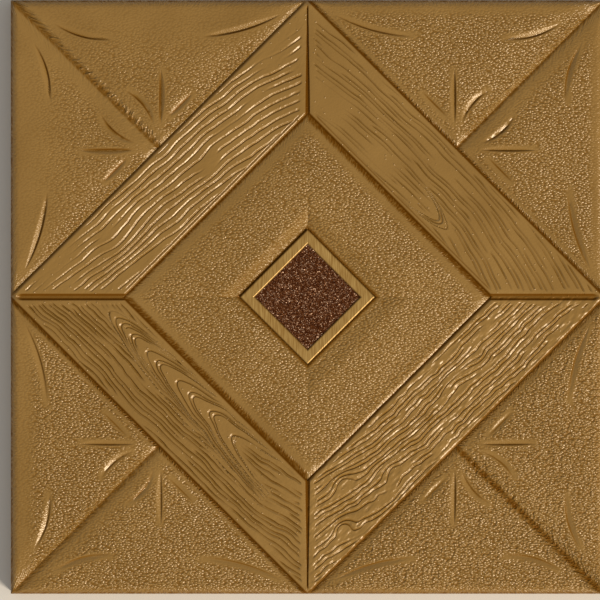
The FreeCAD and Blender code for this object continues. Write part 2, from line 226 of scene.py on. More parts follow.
# Wood grain pressed into the boards. Each board has its own way for the lines: how
# many millimetres apart they run, how much they lean towards each end, how far they
# wander, how readily they break off, how much they pair up, which wall is the wide one
# and how many times finer than LINE_WIDE and LINE_NARROW they are. Swells bend the lines aside: place along, place across, half length, half width
# and rise. Hairpins are nested lines that turn back: place across, how sharply, the
# places along of their tips, and where their tails start and end. Bald patches, given
# as place along, place across, half length and half width, have no lines.
GRAIN = (
    # upper right: fine lines in pairs that fan out to the right mitre
    dict(apart=2.8, lean=0.0, starts=7.0, ends=17.0, wander=1.7, ripple=0.06, gaps=-0.36,
         pair=0.42, wide=1.0, fine=1.25, bead=1.0, depth=0.78,
         swells=((-40.0, 40.0, 24.0, 9.0, 0.8), ),
         hairpins=((11.0, 3.0, (25.0, 28.0, 33.0), 4.0, 60.0), ),
         bald=((-84.0, 14.0, 20.0, 12.0), (-30.0, 12.0, 14.0, 7.0))),
    # upper left: long clear lines that fan towards the upper mitre
    dict(apart=4.4, lean=9.0, starts=-2.0, ends=11.0, wander=2.0, ripple=0.12, gaps=-0.55,
         pair=0.0, wide=1.0, fine=1.0, bead=1.0, depth=1.0,
         swells=((-70.0, 24.0, 30.0, 9.0, 0.8), (10.0, 20.0, 18.0, 8.0, 0.7)), hairpins=(),
         bald=((112.0, 52.0, 34.0, 12.0), (-104.0, 50.0, 26.0, 12.0))),
    # lower left: close lines beside a long chain of nested hairpins
    dict(apart=2.7, lean=0.0, starts=10.0, ends=0.0, wander=2.2, ripple=0.14, gaps=-0.55,
         pair=0.25, wide=1.0, fine=1.0, bead=0.0, depth=1.1, swells=(),
         hairpins=((13.5, 2.9, (-33.0, -30.0, -12.0, -8.0, 6.0, 10.5, 22.0, 37.0, 41.0, 50.0,
                                59.0, 62.0, 65.5, 71.0, 75.0, 81.0, 87.0), -75.0, 88.0), ),
         bald=()),
    # lower right: close rough lines that break off, with swells near the lower mitre
    dict(apart=2.9, lean=0.0, starts=-4.0, ends=14.0, wander=2.6, ripple=0.22, gaps=-0.42,
         pair=0.30, wide=-1.0, fine=1.0, bead=0.0, depth=1.1,
         swells=((92.0, 38.0, 8.0, 6.0, 2.2), (70.0, 16.0, 10.0, 6.0, 1.8),
                 (44.0, 32.0, 10.0, 6.0, 1.2), (-30.0, 22.0, 14.0, 7.0, 1.0)),
         hairpins=(), bald=()),
)
# A pressed line has a wide wall and a narrow one, from its keel up to the board's face.
LINE_WIDE = 1.3
LINE_NARROW = 0.55
LINE_DEPTH = 0.28
# How far the pressed bead lies from a board's inner edge.
BEAD_PLACE = 2.6
# Where the painted shade along a board's inner and outer edge starts to fade, and ends.
EDGE_LINE = (((0.4, 1.5), (0.4, 1.5)), ((0.7, 1.6), (0.4, 1.5)),
             ((0.4, 1.5), (0.4, 1.5)), ((0.4, 1.5), (0.8, 1.9)))
# How dark the painted shade in the seams at a board's inner and outer edge is.
INNER_SEAM_DARK = (1.0, 0.5, 1.0, 0.6)
OUTER_SEAM_DARK = (1.0, 0.5, 1.0, 0.7)
# How lumpy the skin is between the lines of each board.
LUMPS = (0.03, 0.05, 0.07, 0.26)


def grain_lines(along, across, quarter):
    """Where a place on a board lies among the pressed lines of its wood grain.

    The lines are the whole-number contours of a field: the place across the board,
    over the spacing, bent by slow noise and by bells. A cosine wave on the field draws
    its lines together in pairs. Hairpins are contours of the place along the board plus
    a parabola across it. Gives the field, the millimetres for one step of it, and a
    strength that noise along each line fades out where the line breaks off.
    """
    style = GRAIN[quarter]
    seed = 40 + 10 * quarter
    half_length = FRAME_INNER + across
    share = along / half_length
    lean = style["lean"] * share + np.where(
        share > 0.0, style["ends"], style["starts"]) * share ** 2
    bend = style["wander"] * (
        smooth_noise(along / 34.0 + 9.0, across / 30.0 + 3.0, seed)
        + 0.45 * smooth_noise(along / 13.0, across / 12.0 + 7.0, seed + 1)
        + style["ripple"] * smooth_noise(along / 5.0, across / 5.0, seed + 2))
    field = (across + lean + bend) / style["apart"]
    for place, height, length, width, rise in style["swells"]:
        field = field + rise * np.exp(
            -((along - place) / length) ** 2 - ((across - height) / width) ** 2)
    field = style["wide"] * (field + style["pair"] / math.pi * np.cos(math.pi * field))

    def slope_of(field):
        slope_along = np.gradient(field, axis=1) / np.maximum(np.abs(np.gradient(along, axis=1)), 1e-6)
        slope_across = np.gradient(field, axis=0) / np.maximum(np.gradient(across, axis=0), 1e-6)
        return np.hypot(slope_along, slope_across) + 0.02

    slope = slope_of(field)
    line = np.round(field)
    whole = smooth_noise(along / 26.0 + line * 3.7, line * 5.3 + across / 60.0, seed + 3)
    strength = ease(whole, style["gaps"] - 0.25, style["gaps"] + 0.12)
    strength = strength * style["depth"] * (
        0.72 + 0.28 * smooth_noise(along / 9.0, line * 2.9, seed + 4))
    from_mitre = (half_length - np.abs(along)) * math.sqrt(0.5)
    start = 3.0 + 3.0 * np.abs(smooth_noise(line * 1.7, line * 0.9 + quarter, seed + 5))
    strength = strength * ease(from_mitre, start, start + 1.8)
    strength = strength * ease(across, 2.6, 4.2) * ease(BOARD_WIDTH - across, 2.0, 3.2)
    strength = strength / (1.0 + (0.35 / np.maximum(slope * style["apart"], 0.15)) ** 4)
    for height, sharp, ends, first, last in style["hairpins"]:
        line_depth = 0.75
        bow = (across - height - 1.2 * smooth_noise(along / 14.0, across / 90.0, seed + 6)) ** 2
        tip = along + bow / sharp + 0.7 * smooth_noise(along / 6.0, across / 5.0, seed + 7)
        nested = np.interp(tip, ends, np.arange(len(ends)) + 30.0)
        inside = (tip < ends[-1] + 1.0) & (tip > ends[0] - 1.0) & (along > first)
        nested_gap = 1.0 / slope_of(nested)
        inside = inside & (nested_gap > 0.8)
        kept = ease(tip, ends[0] - 1.0, ends[0]) * (1.0 - ease(tip, ends[-1] + 0.4, ends[-1] + 1.0))
        kept = kept * ease(from_mitre, start, start + 1.8) * ease(across, 3.0, 6.5)
        kept = kept * ease(along, first, first + 12.0) * ease(nested_gap, 0.8, 1.3) * line_depth
        ring = np.round(nested)
        whole = smooth_noise(along / 15.0 + ring * 3.1, ring * 2.3 + (across > height), seed + 8)
        kept = kept * ease(whole, -0.75, -0.35)
        outside = np.maximum(
            ease(tip, ends[-1] + 1.0, ends[-1] + 12.0), 1.0 - ease(along, first - 8.0, first + 4.0))
        outside = np.maximum(outside, 1.0 - ease(tip, ends[0] - 14.0, ends[0] - 3.0))
        outside = np.maximum(outside, 1.0 - ease(nested_gap, 0.5, 0.8))
        strength = np.where(inside, kept, strength * outside)
        field = np.where(inside, nested, field)
        slope = np.where(inside, 1.0 / nested_gap, slope)
    for place, height, length, width in style["bald"]:
        strength = strength * (1.0 - np.exp(
            -((along - place) / length) ** 4 - ((across - height) / width) ** 4))
    return field, style["fine"] / slope, strength


def board(name, quarter):
    """One embossed board: a trapezoid grid whose columns fan out from the centre.

    The top is flat with a parabola down at both long edges. A channel with a flat floor
    sinks along the mitres at its ends, and the panel's rounded side cuts off its tips.
    """
    edge = ramp_of_steps([(BOARD_ROUND, 0.2), (BOARD_WIDTH / 2.0, 0.345)])
    across_line = np.concatenate([edge, BOARD_WIDTH - edge[-2::-1]])
    end = ramp_of_steps([(0.04, 0.0034), (1.0, 0.0061)])
    share_line = np.concatenate([end - 1.0, (1.0 - end)[-2::-1]])
    across, share = np.meshgrid(across_line, share_line, indexing="ij")
    outward = FRAME_INNER + across
    along = outward * share
    x, y = in_the_panel(outward, along, quarter)

    def rounding(distance):
        return BOARD_EDGE_DROP * np.clip(1.0 - distance / BOARD_ROUND, 0.0, 1.0) ** 2

    from_mitre = (outward - np.abs(along)) * math.sqrt(0.5)
    level = (along > 0.0) == (quarter % 2 == 0)
    full_width = np.where(level, WIDE_MITRE, NARROW_MITRE)
    mitre_way = outward * math.sqrt(2.0)
    taper = np.where(level, 1.0, 1.15 - 0.75 * ease(mitre_way, 123.0, 196.0))
    stop = ease(HALF_SIDE - mitre_way, MITRE_STOP * 0.5, MITRE_STOP * 1.6)
    into = from_mitre / (full_width * taper / 2.0)
    mitre = MITRE_DEPTH * 0.6 * stop * (1.0 - ease(into, 0.35, 1.0))
    shoulder = 0.30 * stop * np.exp(-(from_mitre / 2.8) ** 2)
    # Painted shade in the mitre's channel, darkest towards its walls on the level mitres.
    mitre_shade = np.where(
        level, (0.50 + 0.40 * ease(into, 0.1, 0.45)) * (1.0 - ease(into, 0.75, 1.1)),
        1.3 - 1.3 * ease(into, 0.5, 1.1))

    style = GRAIN[quarter]
    field, gap, strength = grain_lines(along, across, quarter)
    from_keel = (field - np.round(field)) * gap
    wall = np.where(from_keel > 0.0, from_keel / LINE_WIDE, -from_keel / LINE_NARROW)
    grain = LINE_DEPTH * strength * (1.0 - ease(wall, 0.0, 1.0))
    bead_stop = ease(from_mitre, 4.0, 7.0)
    bead = style["bead"] * bead_stop * np.exp(-((across - BEAD_PLACE) / 0.42) ** 2)
    grain = grain + 0.5 * bead
    swell = 0.10 * smooth_noise(along / 21.0, across / 11.0, 70 + quarter)
    lump = smooth_noise(along / 4.0, across / 1.6, 80 + quarter)
    swell = swell + LUMPS[quarter] * (lump + 0.5 * smooth_noise(
        along / 2.1, across / 2.6, 90 + quarter))
    from_side = HALF_SIDE - np.maximum(np.abs(x), np.abs(y))
    z = BOARD_TOP - deepest(
        rounding(across) + rounding(BOARD_WIDTH - across), mitre) - shoulder
    z = z - grain + swell
    z = np.minimum(z, THICKNESS - edge_drop(from_side))
    # Painted shade in the seams along the board's edges and in the mitres.
    inner_line, outer_line = EDGE_LINE[quarter]
    outer_seam_shade = OUTER_SEAM_DARK[quarter] * (1.0 - ease(BOARD_WIDTH - across, *outer_line))
    inner_seam_shade = INNER_SEAM_DARK[quarter] * (1.0 - ease(across, *inner_line))
    shade = np.maximum(inner_seam_shade, outer_seam_shade)
    shade = np.maximum(shade, mitre_shade * stop)
    # The bead's groove gets painted shade too.
    return closed_block(name, np.stack([x, y, z], axis=-1), False, {
        "grain_line": np.stack([field, gap, strength], axis=-1),
        "shade": np.maximum(shade, 0.5 * bead)})


def leaf_reading(outward, aside, leaf, turned):
    """Depth of a leaf-shaped pleat, how near a place is to it, and where in it that is.

    The keel is the chord from start to end, bent aside by a parabola. The depth and
    the widths of both walls follow the same parabola, so the leaf has sharp ends. The
    gentle wall to the left of the keel is hollow and the steep one to the right plain.
    """
    start, end, bow, depth, gentle_width, steep_width = leaf
    chord = np.subtract(end, start)
    length = np.hypot(*chord)
    way = chord / length
    passed = ((outward - start[0]) * way[0] + (aside - start[1]) * way[1]) / length
    offset = (aside - start[1]) * way[0] - (outward - start[0]) * way[1]
    inside = np.clip(4.0 * passed * (1.0 - passed), 0.0, 1.0)
    offset = offset - bow * 4.0 * passed * (1.0 - passed)
    if turned:
        offset = -offset
    gentle = np.clip(1.0 - offset / np.maximum(gentle_width * inside, 1e-3), 0.0, 1.0)
    steep = np.clip(1.0 + offset / np.maximum(steep_width * inside, 1e-3), 0.0, 1.0)
    wall = np.where(offset > 0.0, gentle ** 1.15, steep)
    depth = depth * inside ** 0.8 * wall * (inside > 0.0)
    near = np.exp(-(np.maximum(np.abs(offset - 0.8) - 1.0, 0.0) / 1.8) ** 2)
    near = near * ease(passed, -0.10, 0.06) * ease(1.0 - passed, -0.10, 0.06)
    return depth, near, offset, inside


# How far from the panel's side the grain starts and is whole, in both halves of each
# corner, and how strong it is in each corner.
EDGE_BAND = (((6.0, 14.0), (6.0, 14.0)), ((8.0, 48.0), (8.0, 48.0)),
             ((1.0, 6.0), (9.0, 22.0)), ((1.0, 6.0), (1.0, 6.0)))
GRAIN_SHARE = (0.90, 0.75, 1.05, 1.10)
# How strong the grain is beside the board's seam, and how far out it is whole there.
BOARD_SIDE_GRAIN = ((1.0, 6.0), (1.7, 1.6), (1.0, 6.0), (1.0, 6.0))
# How far the grain runs together into upright worms in each corner.
WORMS = (0.1, 0.0, 0.35, 1.1)
# How strong the grain is beside the corner's seam, in both halves of each corner, and
# how deep that seam is, as a share of the seams at the boards.
SEAM_GRAIN = ((1.2, 0.25), (0.1, 0.6), (0.4, 1.2), (1.0, 1.0))
CORNER_SEAM_SHARE = (1.1, 0.6, 1.0, 0.8)
# How wide the roll down to the board's seam is in each corner and how hollow, where 2 is
# a parabola and 1 a plain slope. Then how wide the roll down to the corner's own seam
# is in both halves of each corner.
BOARD_SEAM_ROLL = ((8.0, 2.0), (3.0, 1.15), (8.0, 2.0), (8.0, 2.0))
CORNER_SEAM_ROUND = ((4.5, 8.0), (8.0, 8.0), (8.0, 5.0), (8.0, 8.0))
# How wide and how dark the painted shade along the corner's seam is, in both halves
# of each corner, and how wide the painted shade along the board's seam is in each corner.
SEAM_SHADE = (((1.0, 0.9), (2.6, 0.65)), ((2.2, 0.65), (5.0, 0.55)),
             ((5.0, 0.5), (1.2, 0.8)), ((2.6, 0.75), (5.0, 0.85)))
BOARD_SEAM_SHADE = (2.6, 1.0, 3.8, 4.4)
# How strong the puckers at the board's seam are in each corner, and how strong those at
# the corner's own seam are in both halves of each corner.
BOARD_PUCKER = (0.9, 0.3, 0.9, 0.9)
SEAM_PUCKER = ((0.5, 0.3), (0.4, 1.5), (0.3, 0.5), (1.2, 1.2))


def half_corner(name, quarter, side):
    """One half of a corner cushion, between the board, the corner's seam and the side.

    The grid is rings of the half corner's outline, a triangle with two equal sides,
    that shrink onto the middle of its inscribed circle, so every ring keeps one
    distance from the nearest side.
    """
    reach = HALF_CORNER_REACH
    rings = ramp_of_steps([(3.0, 0.42), (9.0, 0.70), (reach - 1.0, 1.15)])
    legs = 150
    slant = 212
    step = np.arange(legs) / legs
    slide = np.arange(slant) / slant
    outline = np.concatenate([
        np.stack([step * FRAME_OUTER, np.zeros(legs)], axis=-1),
        np.stack([(1.0 - slide) * FRAME_OUTER, slide * FRAME_OUTER], axis=-1),
        np.stack([np.zeros(legs), (1.0 - step) * FRAME_OUTER], axis=-1)])
    way = np.concatenate([
        step * FRAME_OUTER, FRAME_OUTER + slide * HALF_SIDE,
        FRAME_OUTER + HALF_SIDE + step * FRAME_OUTER])
    shrink = (rings / reach)[:, None, None]
    place = outline[None] * (1.0 - shrink) + reach * shrink
    outward = place[..., 0]
    aside = place[..., 1]
    from_side = (FRAME_OUTER - outward - aside) * math.sqrt(0.5)
    seed = 100 + 10 * quarter + (side > 0)

    half = int(side > 0.0)
    corner_drop = CORNER_SEAM_SHARE[quarter] * seam_drop(aside, CORNER_SEAM_ROUND[quarter][half])
    board_drop = seam_drop(outward, *BOARD_SEAM_ROLL[quarter])
    drop = deepest(board_drop, corner_drop, edge_drop(from_side))
    grain_keep = np.ones_like(drop)
    crease = np.zeros(drop.shape + (3,))
    for number, leaf in enumerate(LEAVES):
        turned = number in LEAVES_TURNED[quarter][half]
        depth, near, offset, inside = leaf_reading(outward, aside, leaf, turned)
        drop = drop + LEAF_SHARE[quarter] * depth
        grain_keep = grain_keep * (1.0 - 0.92 * near)
        close = inside * np.exp(-(offset / 4.0) ** 2)
        closer = close > crease[..., 2]
        crease[closer] = np.stack([offset, LEAF_SHARE[quarter] * inside, close], axis=-1)[closer]
    drop = drop + 0.22 * (1.0 + smooth_noise(outward / 26.0, aside / 26.0, seed))
    junction = np.hypot(outward, aside)
    by_board, whole_at = BOARD_SIDE_GRAIN[quarter]
    grain_keep = grain_keep * (0.4 + 0.6 * ease(junction, 7.0, 18.0))
    grain_keep = grain_keep * ease(outward, 0.4 * whole_at, whole_at)
    grain_keep = grain_keep * (1.0 + (by_board - 1.0) * (1.0 - ease(outward, 3.0, 12.0)))
    smooth_edge, grained = EDGE_BAND[quarter][half]
    grain_keep = grain_keep * (0.3 + 0.7 * ease(from_side, smooth_edge, grained))
    by_seam = SEAM_GRAIN[quarter][half]
    grain_keep = grain_keep * (1.0 + (by_seam - 1.0) * (1.0 - ease(aside, 4.0, 15.0)))
    grain_keep = grain_keep * GRAIN_SHARE[quarter]
    nearest = np.minimum(np.minimum(outward, aside), from_side)
    by_corner_seam = nearest == aside
    width = np.where(by_corner_seam, 7.0, np.where(nearest == outward, 3.6, 6.0))
    strength = np.where(by_corner_seam, SEAM_PUCKER[quarter][half],
                        np.where(nearest == outward, BOARD_PUCKER[quarter], 0.5))
    pucker = strength * ease(nearest, 0.0, 0.8) * (1.0 - ease(nearest, 0.45 * width, width))
    way_field = np.broadcast_to(way[None], outward.shape)
    pace = np.where(by_corner_seam, 0.45, 1.0)
    worms = np.full_like(nearest, WORMS[quarter])
    seam_way = np.stack([way_field * pace, nearest / width, worms], axis=-1)
    big = smooth_noise(way_field / 2.3, nearest / 5.0 + 0.3, seed + 3)
    # Painted shade along the board's seam and the corner's seam, and a line of it where the skin rolls
    # down at the panel's side.
    shade_reach, darkest = SEAM_SHADE[quarter][half]
    board_seam_shade = OUTER_SEAM_DARK[quarter] * (1.0 - ease(outward / BOARD_SEAM_SHADE[quarter], 0.0, 1.0))
    shade = np.maximum(board_seam_shade, darkest * (1.0 - ease(aside / shade_reach, 0.15, 1.0)))
    side_shade = 0.7 * ease(from_side, 0.0, 0.6) * (1.0 - ease(from_side, 0.6, 3.0))
    shade = np.maximum(shade * ease(from_side, 0.0, 0.6), side_shade)
    grain_keep = grain_keep * ease(from_side, 0.0, 1.5)
    z = np.clip(THICKNESS - drop + 0.15 * big * pucker, 1.0, THICKNESS)
    x, y = in_the_panel(FRAME_OUTER + outward, side * aside, quarter)
    return closed_block(name, np.stack([x, y, z], axis=-1), True, {
        "pebble": grain_keep, "pucker": pucker, "seam_way": seam_way,
        "shade": shade, "crease": crease})


def centre_cushion(name):
    """The cushion inside the boards: square rings from the boards in to the pocket.

    It rolls down to the boards' seam outside and dips towards the rim inside, where
    it rolls over the edge of the pocket and drops to the pocket's floor.
    """
    reach = FRAME_INNER - POCKET_HALF
    steps = ramp_of_steps([
        (3.0, 0.42), (8.0, 0.7), (reach - 12.0, 1.0), (reach - 2.0, 0.7), (reach, 0.25)])
    per_side = 216
    share = np.linspace(-1.0, 1.0, per_side, endpoint=False)
    out = FRAME_INNER - steps
    square = np.stack([np.ones(per_side), share], axis=-1)
    corner_turn = np.array([[0.0, 1.0], [-1.0, 0.0]])
    outline = np.concatenate([
        square @ np.linalg.matrix_power(corner_turn, number) for number in range(4)])
    place = out[:, None, None] * outline[None]
    p = place[..., 0]
    q = place[..., 1]
    rounding = np.where(q > np.abs(p), 6.0, SEAM_ROUND)
    drop = deepest(
        seam_drop(FRAME_INNER - np.abs(p)), seam_drop(FRAME_INNER - np.abs(q), rounding))
    from_rim = np.maximum(np.abs(p), np.abs(q)) - POCKET_HALF
    towards_lower_right = q / np.maximum(np.abs(p), np.abs(q))
    dip = DIP_DEPTH * (0.95 - 0.35 * towards_lower_right) * (
        1.0 - ease(from_rim, 0.5, DIP_REACH + 2.0 + 3.0 * towards_lower_right))
    lip = np.clip(1.0 - from_rim / 1.6, 0.0, 1.0)
    dip = dip + 0.9 * (1.0 - np.sqrt(np.maximum(1.0 - lip ** 2, 0.0)))
    seam_distance = FRAME_INNER - np.maximum(np.abs(p), np.abs(q))
    crease = 0.20 * np.exp(-((np.abs(p) - np.abs(q)) / 2.2) ** 2) * ease(seam_distance, 1.0, 6.0)
    swell = 0.22 * (1.0 + smooth_noise(p / 30.0, q / 30.0, 7))
    way = (np.arange(4 * per_side) / per_side)[None] * 2.0 * FRAME_INNER
    way_field = np.broadcast_to(way, p.shape)
    pucker = 0.45 * ease(seam_distance, 1.0, 2.2) * (1.0 - ease(seam_distance, 2.6, 6.0))
    z = THICKNESS - drop - dip - swell - crease
    z = z + 0.08 * smooth_noise(way_field / 2.6, seam_distance / 5.0, 8) * pucker
    lit = ease(q - np.abs(p), 0.0, 12.0)
    keep = 0.9 * ease(seam_distance, 4.0 - 2.6 * lit, 12.0 - 8.0 * lit)
    keep = keep * (0.4 + 0.6 * ease(from_rim, 0.6, 4.0))
    keep = keep * (1.0 + 0.5 * lit * (1.0 - ease(seam_distance, 5.0, 16.0)))
    # Painted shade along the seam to the boards and in the groove round the rim; its reach differs from
    # side to side.
    shade_reach = np.where(np.abs(p) > np.abs(q), 5.0, np.where(q > 0.0, 1.6, 2.6))
    shade = np.maximum(1.0 - ease(seam_distance / shade_reach, 0.25, 1.0), 1.0 - ease(from_rim, 0.6, 3.0))
    x, y = in_the_panel(p, q, 0)
    points = np.stack([x, y, z], axis=-1)
    floor_ring = points[-1:] * (1.0, 1.0, 0.0) + (0.0, 0.0, SEAT_HEIGHT)
    worms = 0.2 + 0.2 * ease(p + q, -40.0, 60.0)
    seam_way = np.stack([way_field, seam_distance / 5.0, worms], axis=-1)
    readings = {"pebble": keep, "pucker": pucker, "seam_way": seam_way, "shade": shade}
    return closed_block(name, np.concatenate([points, floor_ring]), True, {
        word: np.concatenate([values, values[-1:]]) for word, values in readings.items()})


def colour(code):
    """The linear colour, with full alpha, of an sRGB hex code."""
    parts = [int(code[place:place + 2], 16) / 255.0 for place in (1, 3, 5)]
    return [part / 12.92 if part <= 0.04045 else ((part + 0.055) / 1.055) ** 2.4
            for part in parts] + [1.0]


def fill_inputs(material, node, values):
    """Set a node's inputs by name or number: a socket is linked in, a value is set."""
    for word, value in values.items():
        if isinstance(value, bpy.types.NodeSocket):
            material.node_tree.links.new(value, node.inputs[word])
        else:
            node.inputs[word].default_value = value


def add_node(material, kind, inputs=None, output=0, **settings):
    """One more node, with its settings and filled inputs; gives one of its outputs."""
    node = material.node_tree.nodes.new(kind)
    for word, value in settings.items():
        setattr(node, word, value)
    fill_inputs(material, node, inputs or {})
    return node.outputs[output]


def new_material(name):
    """An empty node material and its shader."""
    material = bpy.data.materials.new(name)
    material.use_nodes = True
    return material, material.node_tree.nodes["Principled BSDF"]


def finish_film(material, shader, relief, painted_shade):
    """Bronze film over a relief in millimetres, with painted shade in its low places.

    Polyurethane synthetic leather: a clear plastic film with pearl and fine metal
    pigment, so the gloss is satin and the highlights are pale gold, not white. Shade is
    painted in a darker brown into the pressed lines, valleys and seams, which get less
    gloss too, and the tone drifts over centimetres.
    """
    where = add_node(material, "ShaderNodeTexCoord", output="Object")
    patch = add_node(material, "ShaderNodeTexNoise", {"Vector": where, "Scale": 24.0, "Detail": 3.0})
    drift = add_node(material, "ShaderNodeMapRange", {"Value": patch, "From Min": 0.3, "From Max": 0.7})
    film = add_node(material, "ShaderNodeMix", {
        "Factor": drift, "A": colour("#8b672b"), "B": colour("#967134")}, 2, data_type="RGBA")
    # Painted shade: the darker brown is mixed in as the painted shade reading rises.
    film = add_node(material, "ShaderNodeMix", {
        "Factor": painted_shade, "A": film, "B": colour("#633a04")}, 2, data_type="RGBA")
    rough = add_node(material, "ShaderNodeMapRange", {
        "Value": patch, "From Min": 0.3, "From Max": 0.7, "To Min": 0.29, "To Max": 0.35})
    bump = add_node(material, "ShaderNodeBump", {"Height": relief, "Strength": 1.0, "Distance": 0.001})
    # The gloss falls where shade is painted, for the reflections that shade hides.
    gloss = add_node(material, "ShaderNodeMapRange", {
        "Value": painted_shade, "From Min": 0.05, "From Max": 0.6, "To Min": 0.5, "To Max": 0.03})
    coat = add_node(material, "ShaderNodeMath", {0: gloss, 1: 0.6}, operation="MULTIPLY")
    fill_inputs(material, shader, {
        "Base Color": film, "Roughness": rough, "Normal": bump, "Metallic": 0.06,
        "IOR": 1.5, "Specular IOR Level": gloss, "Specular Tint": colour("#fff4dc"),
        "Coat Weight": coat, "Coat Roughness": 0.21, "Coat Normal": bump})


# The mean height of a noise and of the pebbles. A relief that fades in and out is
# centred on it first, so that fading doesn't lift or sink the skin.
NOISE_MEAN = 0.5
PEBBLE_MEAN = 0.85


def pebbled_skin(name):
    """The cushions' film, cast on a pebbled paper and hot pressed at the seams.

    Pebbles are 2.1 mm apart. Near a seam they give way to puckers square to it, 1.2 mm
    apart by the boards and 2 mm in the corners. A pleat's keel, the pebbles' valleys and
    the seams are darkened with painted shade.
    """
    material, shader = new_material(name)
    where = add_node(material, "ShaderNodeTexCoord", output="Object")
    pebble_keep = add_node(material, "ShaderNodeAttribute", output="Fac", attribute_name="pebble")
    pucker_keep = add_node(material, "ShaderNodeAttribute", output="Fac", attribute_name="pucker")
    shade = add_node(material, "ShaderNodeAttribute", output="Fac", attribute_name="shade")
    seam_way = add_node(material, "ShaderNodeAttribute", output="Vector", attribute_name="seam_way")
    crease = add_node(material, "ShaderNodeAttribute", output="Vector", attribute_name="crease")

    offset = add_node(material, "ShaderNodeSeparateXYZ", {"Vector": crease}, "X")
    inside = offset.node.outputs["Y"]
    leaning = add_node(material, "ShaderNodeMapping", {
        "Vector": where, "Rotation": (0.0, 0.0, math.radians(-50.0)), "Scale": (0.72, 1.12, 1.0)})
    cells = add_node(material, "ShaderNodeTexVoronoi", {
        "Vector": leaning, "Scale": 660.0, "Randomness": 0.9}, "Distance", voronoi_dimensions="2D")
    dome = add_node(material, "ShaderNodeMapRange", {
        "Value": cells, "From Min": 0.0, "From Max": 0.85, "To Min": 1.0, "To Max": 0.0},
        interpolation_type="SMOOTHSTEP")
    coral = add_node(material, "ShaderNodeTexNoise", {
        "Vector": leaning, "Scale": 780.0, "Detail": 1.5, "Roughness": 0.5}, noise_dimensions="2D")
    grain = add_node(material, "ShaderNodeMath", {0: coral, 1: 0.8, 2: dome}, operation="MULTIPLY_ADD")
    # Painted shade: the pebbles' valleys are coloured darker.
    valley_shade = add_node(material, "ShaderNodeMapRange", {
        "Value": grain, "From Min": 0.55, "From Max": 0.95, "To Min": 0.50, "To Max": 0.0})
    whole = add_node(material, "ShaderNodeMath", {0: pebble_keep, 1: 1.0}, operation="MINIMUM")
    valley_shade = add_node(material, "ShaderNodeMath", {0: valley_shade, 1: whole}, operation="MULTIPLY")
    grain = add_node(material, "ShaderNodeMath", {0: grain, 1: PEBBLE_MEAN}, operation="SUBTRACT")
    grain = add_node(material, "ShaderNodeMath", {0: grain, 1: pebble_keep}, operation="MULTIPLY")

    upright = add_node(material, "ShaderNodeMapping", {"Vector": where, "Scale": (310.0, 120.0, 1.0)})
    worms = add_node(material, "ShaderNodeTexNoise", {
        "Vector": upright, "Scale": 1.0, "Detail": 1.0, "Distortion": 0.6}, noise_dimensions="2D")
    worm_keep = add_node(material, "ShaderNodeSeparateXYZ", {"Vector": seam_way}, "Z")
    worm_keep = add_node(material, "ShaderNodeMath", {0: worm_keep, 1: pebble_keep}, operation="MULTIPLY")
    worm = add_node(material, "ShaderNodeMath", {0: worms, 1: NOISE_MEAN}, operation="SUBTRACT")
    worm = add_node(material, "ShaderNodeMath", {0: worm, 1: worm_keep}, operation="MULTIPLY")
    grain = add_node(material, "ShaderNodeMath", {0: worm, 1: 1.6, 2: grain}, operation="MULTIPLY_ADD")

    lengthened = add_node(material, "ShaderNodeMapping", {
        "Vector": seam_way, "Scale": (0.85, 2.2, 0.0)})
    teeth = add_node(material, "ShaderNodeTexNoise", {
        "Vector": lengthened, "Scale": 1.0, "Detail": 1.0, "Roughness": 0.4})
    tooth = add_node(material, "ShaderNodeMath", {0: teeth, 1: NOISE_MEAN}, operation="SUBTRACT")
    tooth = add_node(material, "ShaderNodeMath", {0: tooth, 1: pucker_keep}, operation="MULTIPLY")
    relief = add_node(material, "ShaderNodeMath", {0: tooth, 1: 4.0, 2: grain}, operation="MULTIPLY_ADD")
    fine = add_node(material, "ShaderNodeTexNoise", {"Vector": where, "Scale": 1100.0, "Detail": 2.0})
    relief = add_node(material, "ShaderNodeMath", {0: fine, 1: 0.35, 2: relief}, operation="MULTIPLY_ADD")
    relief = add_node(material, "ShaderNodeMath", {0: relief, 1: 0.44}, operation="MULTIPLY")

    # Painted shade along the seams, broken up by the puckers' teeth.
    jagged = add_node(material, "ShaderNodeMapRange", {
        "Value": teeth, "From Min": 0.35, "From Max": 0.65, "To Min": 1.3, "To Max": 0.5})
    painted_seam_shade = add_node(material, "ShaderNodeMath", {0: jagged, 1: shade}, operation="MULTIPLY")
    painted_seam_shade = add_node(material, "ShaderNodeMath", {0: painted_seam_shade, 1: 0.95}, operation="MINIMUM")
    # Painted shade in the keel of each pleat.
    from_keel = add_node(material, "ShaderNodeMath", {0: offset, 1: 0.45}, operation="ADD")
    from_keel = add_node(material, "ShaderNodeMath", {0: from_keel}, operation="ABSOLUTE")
    keel_shade = add_node(material, "ShaderNodeMapRange", {
        "Value": from_keel, "From Min": 0.15, "From Max": 0.95, "To Min": 0.78, "To Max": 0.0})
    keel_shade = add_node(material, "ShaderNodeMath", {0: keel_shade, 1: inside}, operation="MULTIPLY")
    painted_shade = add_node(material, "ShaderNodeMath", {0: valley_shade, 1: painted_seam_shade}, operation="MAXIMUM")
    painted_shade = add_node(material, "ShaderNodeMath", {0: painted_shade, 1: keel_shade}, operation="MAXIMUM")
    finish_film(material, shader, relief, painted_shade)
    return material


